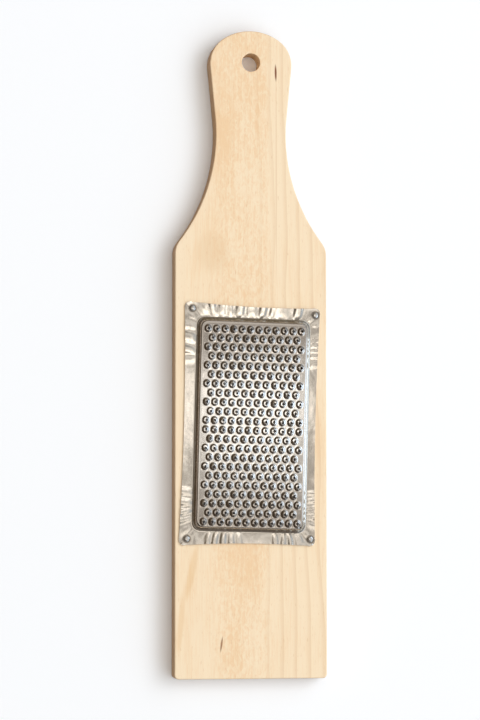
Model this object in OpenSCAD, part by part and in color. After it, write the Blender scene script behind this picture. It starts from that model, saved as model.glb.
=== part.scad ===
// Kitchen grater: a flat wooden paddle with a pressed tinplate grating sheet
// nailed over a window in the wood. Millimetres, Z up, the board lying on its back.
// The origin is on the back face, midway along the board's length.

/* [Board] */
// Length of the board from the crown of the handle to its foot
board_l = 300; // [290:1:330]
// Width of the blade
board_w = 71; // [69:0.5:80]
// Thickness of the wood
board_t = 10; // [9:0.5:14]
// Radius of the two corners at the foot
foot_corner_r = 2; // [1:0.25:5]
// Rounding of the long edges by sanding
edge_r = 0.8; // [0.4:0.1:1.5]

/* [Handle] */
// Widest part of the handle, near its end
head_w = 38.5; // [37:0.5:42]
// Radius of the handle's flat crown
crown_r = 23; // [21:0.5:26]
// Radius of the handle's two round shoulders beside the crown
head_r = 14; // [12:0.5:16]
// Narrowest part of the handle
neck_w = 33; // [30:0.5:35]
// Distance from the crown to the narrowest part
neck_from_crown = 48.5; // [44:0.5:56]
// Radius of the long sweep from the neck out to the blade
sweep_r = 82.5; // [70:0.5:90]
// Radius where the sweep turns into the blade's straight side
shoulder_r = 10; // [6:0.5:14]
// Diameter of the hanging hole
hang_hole_d = 8.5; // [6:0.5:10]
// Distance from the crown to the middle of the hanging hole
hang_hole_from_crown = 14.8; // [12:0.1:18]

/* [Grating sheet] */
// Thickness of the tinplate
sheet_t = 0.4; // [0.3:0.05:0.6]
// Height that the platform is pressed up
platform_h = 2.6; // [2:0.1:4]
// Width of the platform's sloping wall, seen from above
wall_run = 2.2; // [1.6:0.1:3]
// Radius of the platform's four corners at their foot
platform_r = 4.5; // [4:0.25:6]
// Width of the left margin of the sheet
margin_left = 5.8; // [5:0.1:6.4]
// Width of the right margin of the sheet
margin_right = 4.5; // [4.2:0.1:6]
// Width of the margins at the two ends of the sheet
margin_end = 6.2; // [5.5:0.1:8]
// How much shorter the sheet's right edge is cut than its left edge
trim_taper = 2.2; // [0:0.1:3]
// How far the middle of each edge is drawn in by the pressing
draw_in = 1.1; // [0:0.1:1.5]
// Radius of the sheet's four corners
sheet_corner_r = 3; // [2:0.25:4]
// Height of the crimps in the margins
crimp_h = 0.5; // [0.2:0.05:0.8]
// Distance from one crimp to the next
crimp_pitch = 4.4; // [4:0.2:6]
// Turn of the sheet on the board, clockwise from above, in degrees
sheet_turn = 1.45; // [0:0.05:2]
// Distance from the foot of the board to the middle of the sheet
sheet_from_foot = 116.4; // [110:0.2:122]

/* [Burst holes] */
// Number of holes in the longer rows
holes_across = 12; // [10:1:12]
// Number of rows made by one stroke of the punch
rows_a_stroke = 11; // [9:2:11]
// Number of strokes of the punch
strokes = 2; // [1:1:2]
// Distance from hole to hole along a row
pitch_x = 3.96; // [3.8:0.02:4.1]
// Distance from row to row
pitch_y = 4.27; // [4.1:0.01:4.4]
// Diameter of a crater at its foot
crater_d = 3.5; // [3:0.1:3.7]
// Height of a crater above the platform
crater_h = 0.9; // [0.6:0.05:1.2]
// Diameter of the burst hole at the crater's rim
burst_d = 1.4; // [1:0.05:1.6]
// Thickness of the torn rim
rim_t = 0.15; // [0.1:0.05:0.2]
// Bare platform left at each side of the craters
side_border = 0.9; // [0.4:0.1:2]
// Bare platform left beyond the first and last rows
end_border = 0.6; // [0.4:0.1:2]

/* [Window] */
// How far the wood stands inside the foot of the platform, all round
window_lip = 2; // [1.8:0.1:3]
// Radius of the window's corners
window_r = 4; // [2:0.5:6]

/* [Nails] */
// Diameter of the nail's head
nail_head_d = 3; // [2.4:0.1:3.2]
// Thickness of the head at its edge
nail_head_t = 0.35; // [0.25:0.05:0.6]
// Rise of the head's dome above its edge
nail_dome = 0.35; // [0.15:0.05:0.6]
// Diameter of the shank
nail_d = 1.2; // [1:0.1:1.6]
// Length of the nail under its head
nail_l = 8.5; // [6:0.5:9]
// Length of the nail's point
nail_point = 1.8; // [1.2:0.1:2.4]
// Distance of the nails from the platform's foot, sideways
nail_out_x = 2.2; // [2:0.1:2.6]
// Distance of the nails from the platform's foot, lengthways
nail_out_y = 3.1; // [2.6:0.1:3.6]
// Clearance round the shank in the sheet
sheet_hole_gap = 0.1; // [0.05:0.05:0.2]
// Clearance round the shank in the wood
wood_hole_gap = 0.02; // [0.01:0.01:0.05]

/* [Hidden] */

wood_colour = [0.95, 0.82, 0.62];
tin_colour = [0.72, 0.72, 0.70];
nail_colour = [0.60, 0.60, 0.58];

// Overcut of a hole past the faces that it goes through, and of a crater's hollow
over = 1;
cone_over = 0.1;
// Steps along a long arc, a small corner, the S of the platform's wall and the sanded edge,
// and the facets of what is round
arc_steps = 12;
corner_steps = 5;
wall_steps = 4;
edge_steps = 2;
round_fn = 48;

// The rows of burst holes set the platform's size, and the margins set the sheet's
rows = rows_a_stroke * strokes;
platform_w = (holes_across - 1) * pitch_x + crater_d + 2 * side_border;
platform_l = (rows - 1) * pitch_y + crater_d + 2 * end_border;
foot_w = platform_w + 2 * wall_run;
foot_l = platform_l + 2 * wall_run;
sheet_y = sheet_from_foot - board_l / 2;
crown_y = board_l / 2;

function unit(v) = v / norm(v);
function arc(centre, r, from, to, n = arc_steps, first = 0) =
    [for (i = [first:n]) let (a = from + (to - from) * i / n) centre + r * [cos(a), sin(a)]];
function rounded_rectangle(w, l, r) = [
    for (k = [0:3])
        let (sx = k == 0 || k == 3 ? 1 : -1, sy = k < 2 ? 1 : -1)
        each arc([sx * (w / 2 - r), sy * (l / 2 - r)], r, 90 * k, 90 * (k + 1), corner_steps)
];
function mirrored(points) = [for (i = [len(points) - 1:-1:0]) [-points[i][0], points[i][1]]];

// Faces straight across a ring that is its own mirror image, from each point to its image
function strips(n) =
    let (crown = (n - 1) / 2)
    concat([for (i = [0:crown - 2]) [i, i + 1, n - 2 - i, n - 1 - i]], [[crown - 1, crown, crown + 1]]);

// A closed skin over rings of points that run anticlockwise. The faces of cap, which are given for
// the first ring, close both ends. Without a cap the last ring joins the first, round an opening.
module skin(rings, cap = []) {
    n = len(rings[0]);
    last = len(rings) - 1;
    bands = len(cap) > 0 ? last : last + 1;
    points = [for (ring = rings) for (p = ring) p];
    sides = [for (k = [0:bands - 1]) for (i = [0:n - 1])
        let (j = (i + 1) % n, here = k * n, next = (k < last ? k + 1 : 0) * n)
        each [[here + i, next + i, here + j], [here + j, next + i, next + j]]];
    far_cap = [for (face = cap) [for (k = [len(face) - 1:-1:0]) last * n + face[k]]];
    polyhedron(points, concat(sides, cap, far_cap), convexity = 6);
}

// Right half of the board's outline, drawn in by a small amount for the rounded edges
function half_outline(inset) =
    let (
        side_x = board_w / 2 - inset,
        foot_r = foot_corner_r - min(inset, foot_corner_r / 2),
        foot = [side_x - foot_r, -board_l / 2 + inset + foot_r],
        sweep = [neck_w / 2 + sweep_r, crown_y - neck_from_crown],
        sweep_in = sweep_r + inset,
        shoulder_in = shoulder_r - inset,
        shoulder_x = board_w / 2 - shoulder_r,
        reach = sweep_r + shoulder_r,
        drop = sqrt(reach * reach - pow(sweep[0] - shoulder_x, 2)),
        shoulder = [shoulder_x, sweep[1] - drop],
        sweep_turn = atan2(drop, sweep[0] - shoulder_x),
        crown = [0, crown_y - crown_r],
        head_x = head_w / 2 - head_r,
        head = [head_x, crown[1] + sqrt(pow(crown_r - head_r, 2) - head_x * head_x)],
        crown_turn = atan2(head[1] - crown[1], head_x),
        span = sweep - head,
        taper = atan2(span[1], span[0]) + acos((head_r + sweep_r) / norm(span))
    )
    concat(
        arc(foot, foot_r, -90, 0, corner_steps),
        arc(shoulder, shoulder_in, 0, sweep_turn),
        arc(sweep, sweep_in, 180 + sweep_turn, 180 + taper, 2 * arc_steps, first = 1),
        arc(head, head_r - inset, taper, crown_turn),
        arc(crown, crown_r - inset, crown_turn, 90, corner_steps, first = 1)
    );
// The whole outline: the crown's point is shared by both halves
function board_outline(inset) =
    let (right = half_outline(inset), left = mirrored(right))
    concat(right, [for (i = [1:len(left) - 1]) left[i]]);
function sanded_ring(a) =
    [for (p = board_outline(edge_r * (1 - sin(a)))) [p[0], p[1], edge_r * (1 - cos(a))]];

// Corners of a rectangle round the platform, anticlockwise from the lower left
function platform_corners(out) =
    [for (s = [[-1, -1], [1, -1], [1, 1], [-1, 1]]) [s[0] * (foot_w / 2 + out), s[1] * (foot_l / 2 + out)]];
function trimmed_y(sx, sy, out) = sy * (foot_l / 2 + out - sx * trim_taper / 4);
function sheet_corners() = [
    for (s = [[-1, -1], [1, -1], [1, 1], [-1, 1]])
        [s[0] < 0 ? -(foot_w / 2 + margin_left) : foot_w / 2 + margin_right, trimmed_y(s[0], s[1], margin_end)]
];
function nail_place(sx, sy) = [sx * (foot_w / 2 + nail_out_x), trimmed_y(sx, sy, nail_out_y)];

// Steps along the short and the long edges: each crimp is one step up and one step down
function crimped_steps(length) = 4 * round(length / crimp_pitch / 2);
edge_points = [crimped_steps(foot_w), crimped_steps(foot_l)];
// The crimps rise towards the quarters of each edge and die out at its middle and at the corners
function crimp(k, n) = (k % 2) * pow(sin(360 * k / n), 4);

// One ring of the sheet: four rounded corners joined by edges that may be drawn in and crimped
function sheet_ring(corners, r, z, bow = 0, crimp_rise = 0) = [
    for (i = [0:3])
        let (
            before = corners[(i + 3) % 4],
            here = corners[i],
            next = corners[(i + 1) % 4],
            back = unit(before - here),
            ahead = unit(next - here),
            inward = [-ahead[1], ahead[0]],
            length = norm(next - here),
            n = edge_points[i % 2]
        )
        each concat(
            [for (k = [0:corner_steps])
                let (t = k / corner_steps, p = here + r * (pow(1 - t, 2) * back + t * t * ahead))
                [p[0], p[1], z]],
            [for (k = [1:n - 1])
                let (
                    t = k / n,
                    p = here + ahead * (r + (length - 2 * r) * t) + inward * bow * 4 * t * (1 - t)
                )
                [p[0], p[1], z + crimp_rise * crimp(k, n)]]
        )
];

// The S of the platform's wall, from its foot at 0 to its top edge at 1
function wall_ring(u, z) =
    let (rise = platform_h * (1 - cos(180 * u)) / 2)
    sheet_ring(platform_corners(-wall_run * u), platform_r - wall_run * u / 2, z + rise);

// The margins and the wall, open in the middle, where the platform's flat top closes them
module margins() {
    skin(concat(
        [for (k = [wall_steps:-1:0]) wall_ring(k / wall_steps, 0)],
        [for (z = [0, sheet_t]) sheet_ring(sheet_corners(), sheet_corner_r, z, draw_in, crimp_h)],
        [for (k = [0:wall_steps]) wall_ring(k / wall_steps, sheet_t)]
    ));
}

// The flat top, with the burst holes
module platform() {
    difference() {
        union() {
            translate([0, 0, platform_h])
                linear_extrude(sheet_t) polygon([for (p = wall_ring(1, 0)) [p[0], p[1]]]);
            at_burst_holes() crater_body();
        }
        at_burst_holes() crater_hollow();
    }
}

// Places the children at each burst hole: long and short rows alternate within a stroke
module at_burst_holes() {
    for (row = [0:rows - 1]) {
        short = (row % rows_a_stroke) % 2;
        count = holes_across - short;
        for (i = [0:count - 1])
            translate([(i - (count - 1) / 2) * pitch_x, (row - (rows - 1) / 2) * pitch_y, platform_h])
                children();
    }
}

// The outside of a crater, rooted in the sheet, and the hollow that the punch leaves under it
module crater_body() {
    root = sheet_t / 2;
    translate([0, 0, root])
        cylinder(h = sheet_t - root + crater_h, d1 = crater_d, d2 = burst_d + 2 * rim_t, $fn = round_fn);
}
module crater_hollow() {
    mouth_d = crater_d - 2 * sheet_t;
    rise = sheet_t + crater_h;
    flare = (mouth_d - burst_d) / rise * cone_over;
    translate([0, 0, -cone_over])
        cylinder(h = rise + 2 * cone_over, d1 = mouth_d + flare, d2 = burst_d - flare, $fn = round_fn);
}

// Seats the children on the wood, turned as the sheet is
module on_board() {
    translate([0, sheet_y, board_t]) rotate([0, 0, -sheet_turn]) children();
}

module at_nails() {
    for (sx = [-1, 1], sy = [-1, 1])
        translate(nail_place(sx, sy)) children();
}

// The hole that the nail's shank and point make in the wood
module nail_hole() {
    depth = nail_l - sheet_t;
    hole_r = nail_d / 2 + wood_hole_gap;
    rotate_extrude($fn = round_fn)
        polygon([[0, -depth], [hole_r, nail_point - depth], [hole_r, over], [0, over]]);
}

module board() {
    lower = [for (k = [0:edge_steps]) sanded_ring(90 * k / edge_steps)];
    upper = [for (k = [len(lower) - 1:-1:0]) [for (p = lower[k]) [p[0], p[1], board_t - p[2]]]];
    color(wood_colour)
        difference() {
            skin(concat(lower, upper), cap = strips(len(lower[0])));
            translate([0, crown_y - hang_hole_from_crown, -over])
                cylinder(h = board_t + 2 * over, d = hang_hole_d, $fn = round_fn);
            translate([0, sheet_y, -over])
                linear_extrude(board_t + 2 * over)
                    polygon(rounded_rectangle(foot_w - 2 * window_lip, foot_l - 2 * window_lip, window_r));
            on_board() at_nails() nail_hole();
        }
}

module grater_plate() {
    color(tin_colour)
        on_board()
            difference() {
                union() {
                    margins();
                    platform();
                }
                at_nails()
                    translate([0, 0, -over])
                        cylinder(h = sheet_t + 2 * over, d = nail_d + 2 * sheet_hole_gap, $fn = round_fn);
            }
}

module nail(sx, sy) {
    head_r = nail_head_d / 2;
    dome_r = (head_r * head_r + nail_dome * nail_dome) / (2 * nail_dome);
    dome_turn = asin(head_r / dome_r);
    color(nail_colour)
        on_board()
            translate([nail_place(sx, sy)[0], nail_place(sx, sy)[1], sheet_t])
                rotate_extrude($fn = round_fn)
                    polygon(concat(
                        [[0, -nail_l], [nail_d / 2, nail_point - nail_l], [nail_d / 2, 0], [head_r, 0]],
                        arc([0, nail_head_t + nail_dome - dome_r], dome_r, 90 - dome_turn, 90, corner_steps)
                    ));
}

board();
grater_plate();
nail(-1, 1);  // nail_upper_left
nail(1, 1);  // nail_upper_right
nail(-1, -1);  // nail_lower_left
nail(1, -1);  // nail_lower_right
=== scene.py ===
import logging
import math
from contextlib import contextmanager
from dataclasses import dataclass, replace
from enum import Enum
from typing import Callable, Iterator, Sequence

import bmesh
import bpy
from mathutils import Matrix, Quaternion, Vector, noise


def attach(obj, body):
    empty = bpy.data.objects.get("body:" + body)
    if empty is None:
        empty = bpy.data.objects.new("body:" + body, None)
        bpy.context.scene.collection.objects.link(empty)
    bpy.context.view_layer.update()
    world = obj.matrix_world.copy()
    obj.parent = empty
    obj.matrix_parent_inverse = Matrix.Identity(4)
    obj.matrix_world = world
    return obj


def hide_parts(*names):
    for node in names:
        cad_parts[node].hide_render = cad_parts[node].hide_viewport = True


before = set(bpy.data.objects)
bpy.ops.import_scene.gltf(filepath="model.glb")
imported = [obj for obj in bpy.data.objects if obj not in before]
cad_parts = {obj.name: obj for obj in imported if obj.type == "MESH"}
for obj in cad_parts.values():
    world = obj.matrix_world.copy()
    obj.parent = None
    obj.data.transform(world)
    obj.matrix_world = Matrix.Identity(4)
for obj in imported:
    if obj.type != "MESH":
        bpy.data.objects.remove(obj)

# Pieces are drawn in millimetres and set to metres when they are finished
MM = 0.001
Colour = tuple[float, float, float]
Place = tuple[float, float, float]
Sockets = dict[int | str, object]
NOISE_SEED = 3
log = logging.getLogger("kitchen_grater")


# Work in edit mode


def deselect() -> None:
    """Leaves edit mode and deselects every object."""
    if bpy.context.object and bpy.context.object.mode != "OBJECT":
        bpy.ops.object.mode_set(mode="OBJECT")
    bpy.ops.object.select_all(action="DESELECT")


def focus(obj: bpy.types.Object) -> None:
    """Makes one object the only one selected, and the active one."""
    deselect()
    obj.select_set(True)
    bpy.context.view_layer.objects.active = obj


def added(operator: Callable[..., object], **settings: object) -> bpy.types.Object:
    """Adds one object.

    Args:
        operator: The operator that adds it.
        settings: The operator's own settings.

    Returns:
        The object.
    """
    deselect()
    operator(**settings)
    return bpy.context.object


def delete(*spare: bpy.types.Object) -> None:
    """Deletes objects."""
    for obj in spare:
        focus(obj)
        bpy.ops.object.delete()


@contextmanager
def editing(obj: bpy.types.Object, kind: str = "VERT") -> Iterator[bpy.types.Object]:
    """Edit mode on one object, with nothing selected at the start.

    Args:
        obj: The object to edit.
        kind: What is selected: VERT, EDGE or FACE.
    """
    focus(obj)
    bpy.ops.object.mode_set(mode="EDIT")
    bpy.ops.mesh.select_mode(type=kind)
    bpy.ops.mesh.select_all(action="DESELECT")
    yield obj
    bpy.ops.object.mode_set(mode="OBJECT")


def pick_all() -> None:
    """Selects, in edit mode, the whole mesh."""
    bpy.ops.mesh.select_all(action="SELECT")


def face_outward() -> None:
    """Selects, in edit mode, the whole mesh and turns its faces outward."""
    pick_all()
    bpy.ops.mesh.normals_make_consistent(inside=False)


def stretch(x: float, y: float, z: float, about: Place = (0, 0, 0)) -> None:
    """Resizes, in edit mode, what is selected, about a point."""
    bpy.ops.transform.resize(value=(x, y, z), center_override=about)


def jitter(distance: float, seed: int) -> None:
    """Moves, in edit mode, each selected vertex a little, up to a distance."""
    bpy.ops.transform.vertex_random(offset=distance, uniform=0.0, normal=0.0, seed=seed)


def climb(edge: bmesh.types.BMEdge) -> float:
    """Difference in height between an edge's two ends."""
    return abs(edge.verts[0].co.z - edge.verts[1].co.z)


def pick_points(obj: bpy.types.Object, wanted: Callable[[bmesh.types.BMVert], bool]) -> None:
    """Selects, in edit mode, the vertices that are wanted, and what lies between them."""
    mesh = bmesh.from_edit_mesh(obj.data)
    for vertex in mesh.verts:
        vertex.select = wanted(vertex)
    mesh.select_flush_mode()
    bmesh.update_edit_mesh(obj.data)


def pick_edges(obj: bpy.types.Object, wanted: Callable[[bmesh.types.BMEdge], bool]) -> None:
    """Selects, in edit mode, the edges that are wanted and no others."""
    mesh = bmesh.from_edit_mesh(obj.data)
    for edge in mesh.edges:
        edge.select = wanted(edge)
    bmesh.update_edit_mesh(obj.data)


def round_edges(
    obj: bpy.types.Object, wanted: Callable[[bmesh.types.BMEdge], bool], radius: float, segments: int
) -> None:
    """Rounds off the edges of an object that are wanted.

    Args:
        obj: The object.
        wanted: True for each edge to round.
        radius: How far the rounding reaches.
        segments: Number of flat steps in it.
    """
    with editing(obj, "EDGE"):
        pick_edges(obj, wanted)
        bpy.ops.mesh.bevel(offset=radius, segments=segments, profile=0.5, affect="EDGES")


def picked(obj: bpy.types.Object) -> list[bmesh.types.BMVert]:
    """The vertices that are selected in edit mode."""
    return [vertex for vertex in bmesh.from_edit_mesh(obj.data).verts if vertex.select]


def carry_out(obj: bpy.types.Object, kind: str, **settings: object) -> None:
    """Adds one modifier to an object and applies it.

    Args:
        obj: The object to change.
        kind: The modifier's type.
        settings: The modifier's own settings.
    """
    focus(obj)
    modifier = obj.modifiers.new(kind.title(), kind)
    for name, value in settings.items():
        setattr(modifier, name, value)
    bpy.ops.object.modifier_apply(modifier=modifier.name)


def copy_of(obj: bpy.types.Object, shift: Place) -> bpy.types.Object:
    """A moved copy of an object, with its own mesh.

    Args:
        obj: The object to copy.
        shift: How far the copy's mesh is moved.

    Returns:
        The copy.
    """
    focus(obj)
    bpy.ops.object.duplicate(linked=False)
    twin = bpy.context.object
    with editing(twin):
        pick_all()
        bpy.ops.transform.translate(value=shift)
    return twin


def joined(pieces: Sequence[bpy.types.Object], name: str) -> bpy.types.Object:
    """One object out of several.

    Args:
        pieces: The objects; the first one takes in the others.
        name: The name of the whole.

    Returns:
        The joined object.
    """
    focus(pieces[0])
    for piece in pieces:
        piece.select_set(True)
    bpy.ops.object.join()
    pieces[0].name = name
    return pieces[0]


def finish_piece(obj: bpy.types.Object, place: Matrix = Matrix()) -> None:
    """Puts a piece that was drawn in millimetres at its place, in metres, with the place in its mesh.

    Args:
        obj: The piece.
        place: The turn and shift, in millimetres, from where it was drawn to where it belongs.
    """
    focus(obj)
    obj.matrix_world = Matrix.Scale(MM, 4) @ place
    bpy.ops.object.transform_apply(location=True, rotation=True, scale=True)


class Pen:
    """Draws one line of vertices from a first point, in straight runs and arcs, flat on the table."""

    def __init__(self, name: str, x: float, y: float) -> None:
        """Puts down the first point.

        Args:
            name: The name of the object that is drawn.
            x: Sideways place of the point.
            y: Lengthways place of the point.
        """
        self.drawn = added(bpy.ops.mesh.primitive_plane_add, size=1.0)
        self.drawn.name = name
        bpy.ops.object.mode_set(mode="EDIT")
        pick_all()
        bpy.ops.mesh.merge(type="CENTER")
        bpy.ops.transform.translate(value=(x, y, 0))

    def line(self, x: float, y: float) -> None:
        """Draws straight on to a point."""
        tip = picked(self.drawn)[0].co
        bpy.ops.mesh.extrude_vertices_move(TRANSFORM_OT_translate={"value": (x - tip.x, y - tip.y, 0)})

    def arc(self, x: float, y: float, turn: float, steps: int) -> None:
        """Draws on round a centre.

        Args:
            x: Sideways place of the centre.
            y: Lengthways place of the centre.
            turn: Degrees of the turn, anticlockwise.
            steps: Number of straight steps that the arc is made of.
        """
        bpy.ops.mesh.spin(
            steps=steps, dupli=False, angle=math.radians(-turn), center=(x, y, 0), axis=(0, 0, 1)
        )

    def done(self) -> bpy.types.Object:
        """Lays down the pen and returns the drawn line."""
        bpy.ops.object.mode_set(mode="OBJECT")
        return self.drawn


# Where the sheet lies


@dataclass(frozen=True)
class SheetPlace:
    """Place of the grating sheet on the board, and the sizes that its nails share with it."""

    x: float = 0.0
    y: float = -33.6
    wood_top: float = 10.0
    turn: float = -1.45
    foot_w: float = 53.26
    foot_l: float = 98.77
    trim_taper: float = 2.2
    thickness: float = 0.4
    nail_out_x: float = 2.2
    nail_out_y: float = 3.1

    def matrix(self) -> Matrix:
        """From the sheet's own place to its place on the board."""
        shift = Matrix.Translation((self.x, self.y, self.wood_top))
        return shift @ Matrix.Rotation(math.radians(self.turn), 4, "Z")

    def trimmed_y(self, side: int, end: int, out: float) -> float:
        """Lengthways place of a corner, which the taper shortens on the right.

        Args:
            side: -1 for left, 1 for right.
            end: -1 for the foot's end, 1 for the handle's end.
            out: Distance outside the platform's foot.

        Returns:
            The place, in the sheet's own frame.
        """
        return end * (self.foot_l / 2 + out - side * self.trim_taper / 4)

    def nail(self, side: int, end: int) -> Vector:
        """Place of one nail, in the sheet's own frame."""
        sideways = side * (self.foot_w / 2 + self.nail_out_x)
        return Vector((sideways, self.trimmed_y(side, end, self.nail_out_y)))

    def nails(self) -> list[Vector]:
        """Places of the four nails, in the sheet's own frame."""
        return [self.nail(side, end) for side in (-1, 1) for end in (-1, 1)]


SHEET_PLACE = SheetPlace()


# Materials


class Value:
    """A number that a node gives, with arithmetic that adds Math nodes."""

    def __init__(self, graph: "Graph", socket: bpy.types.NodeSocket) -> None:
        """Wraps one output socket of a graph's node."""
        self.graph = graph
        self.socket = socket

    def _math(self, operation: str, *values: "Number") -> "Value":
        """One Math node's result."""
        return self.graph.value("ShaderNodeMath", {"operation": operation}, dict(enumerate(values)))

    def __add__(self, other: "Number") -> "Value":
        """self + other."""
        return self._math("ADD", self, other)

    def __radd__(self, other: "Number") -> "Value":
        """other + self."""
        return self._math("ADD", other, self)

    def __sub__(self, other: "Number") -> "Value":
        """self - other."""
        return self._math("SUBTRACT", self, other)

    def __rsub__(self, other: "Number") -> "Value":
        """other - self."""
        return self._math("SUBTRACT", other, self)

    def __mul__(self, other: "Number") -> "Value":
        """self * other."""
        return self._math("MULTIPLY", self, other)

    def __rmul__(self, other: "Number") -> "Value":
        """other * self."""
        return self._math("MULTIPLY", other, self)

    def __truediv__(self, other: "Number") -> "Value":
        """self / other."""
        return self._math("DIVIDE", self, other)

    def __rtruediv__(self, other: "Number") -> "Value":
        """other / self."""
        return self._math("DIVIDE", other, self)

    def __abs__(self) -> "Value":
        """The value without its sign."""
        return self._math("ABSOLUTE", self)

    def fraction(self) -> "Value":
        """What is left above the whole number below."""
        return self._math("FRACT", self)

    def between(self, low: float, high: float) -> "Value":
        """A smooth step from 0 at low to 1 at high; high may be the smaller."""
        limits = {"Value": self, "From Min": low, "From Max": high}
        return self.graph.value(
            "ShaderNodeMapRange", {"interpolation_type": "SMOOTHSTEP", "clamp": True}, limits
        )


Number = float | int | Value


class Graph:
    """The nodes of one material or world."""

    def __init__(self, tree: bpy.types.NodeTree) -> None:
        """Empties a node tree, to be filled."""
        self.tree = tree
        self.tree.nodes.clear()

    def node(
        self, kind: str, settings: dict[str, object] | None = None, sockets: Sockets | None = None
    ) -> bpy.types.Node:
        """Adds one node.

        Args:
            kind: The node's type.
            settings: The node's own settings, which are set first.
            sockets: A value, a Value or an output socket for each input, by its name or number.

        Returns:
            The node.
        """
        node = self.tree.nodes.new(kind)
        for name, setting in (settings or {}).items():
            setattr(node, name, setting)
        for name, given in (sockets or {}).items():
            source = given.socket if isinstance(given, Value) else given
            if isinstance(source, bpy.types.NodeSocket):
                self.tree.links.new(source, node.inputs[name])
            elif node.inputs[name].type == "RGBA":
                node.inputs[name].default_value = (*source, 1.0)
            else:
                node.inputs[name].default_value = source
        return node

    def value(self, kind: str, settings: dict[str, object], sockets: Sockets) -> Value:
        """Adds one node and returns its first output as a Value."""
        return Value(self, self.node(kind, settings, sockets).outputs[0])

    def place_in_mm(self) -> bpy.types.NodeSocket:
        """The place on the piece, on its Object coordinates, in millimetres."""
        sockets = {"Vector": self.node("ShaderNodeTexCoord").outputs["Object"], "Scale": 1 / MM}
        return self.node("ShaderNodeVectorMath", {"operation": "SCALE"}, sockets).outputs["Vector"]

    def axes(self, vector: bpy.types.NodeSocket) -> tuple[Value, Value, Value]:
        """The three parts of a vector."""
        x, y, z = self.node("ShaderNodeSeparateXYZ", {}, {0: vector}).outputs
        return Value(self, x), Value(self, y), Value(self, z)

    def noise(
        self, place: bpy.types.NodeSocket, cell: Place, detail: float = 2.0,
        shift: Place = (0, 0, 0), roughness: float = 0.5, distortion: float = 0.0
    ) -> Value:
        """Soft noise around 0.5.

        Args:
            place: The place on the piece, in millimetres.
            cell: Size of one patch of the noise along each axis, in millimetres.
            detail: How many finer layers it has.
            shift: Moves the pattern, in patches.
            roughness: Weight of the finer layers.
            distortion: How much the pattern is stirred.

        Returns:
            The noise.
        """
        stretch = {"Vector": place, "Scale": tuple(1 / size for size in cell), "Location": shift}
        mapped = self.node("ShaderNodeMapping", {}, stretch).outputs[0]
        look = {"Scale": 1.0, "Detail": detail, "Roughness": roughness, "Distortion": distortion}
        return self.value("ShaderNodeTexNoise", {}, {"Vector": mapped, **look})

    def mix(self, share: Number, first: object, second: object) -> bpy.types.NodeSocket:
        """A colour between two others."""
        sockets = {0: share, 6: first, 7: second}
        return self.node("ShaderNodeMix", {"data_type": "RGBA"}, sockets).outputs[2]

    def layered(self, lowest: object, *layers: tuple[Number, object]) -> bpy.types.NodeSocket:
        """A colour with others laid over it in turn, each by its own share."""
        colour = lowest
        for share, above in layers:
            colour = self.mix(share, colour, above)
        return colour

    def bump(self, height: Value, distance: float, strength: float = 1.0) -> bpy.types.NodeSocket:
        """A normal that a height pattern gives.

        Args:
            height: The pattern, from 0 to 1.
            distance: Height in metres of 1 in the pattern.
            strength: Share of the effect.

        Returns:
            The normal.
        """
        sockets = {"Height": height, "Distance": distance, "Strength": strength}
        return self.node("ShaderNodeBump", {}, sockets).outputs[0]

    def surface(self, sockets: Sockets) -> None:
        """Ends a material with a Principled shader that has these sockets."""
        shader = self.node("ShaderNodeBsdfPrincipled", {}, sockets)
        self.node("ShaderNodeOutputMaterial", {}, {"Surface": shader.outputs[0]})


def new_material(name: str) -> tuple[bpy.types.Material, Graph]:
    """An empty material and its graph."""
    material = bpy.data.materials.new(name)
    material.use_nodes = True
    return material, Graph(material.node_tree)


@dataclass(frozen=True)
class Mark:
    """A dark or warm mark on a surface, or a patch of painted shade: an ellipse with soft edges, in
    millimetres.
    """

    x: float
    y: float
    half_width: float
    half_length: float
    lean: float
    strength: float
    colour: Colour

    def layer(self, x: Value, y: Value) -> tuple[Value, Colour]:
        """Share of the mark's colour at each place, and the colour.

        Args:
            x: Sideways place.
            y: Lengthways place.

        Returns:
            The share and the colour.
        """
        c, s = math.cos(math.radians(self.lean)), math.sin(math.radians(self.lean))
        across = ((x - self.x) * c + (y - self.y) * s) / self.half_width
        along = ((y - self.y) * c - (x - self.x) * s) / self.half_length
        return (across * across + along * along).between(1.0, 0.1) * self.strength, self.colour


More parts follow.
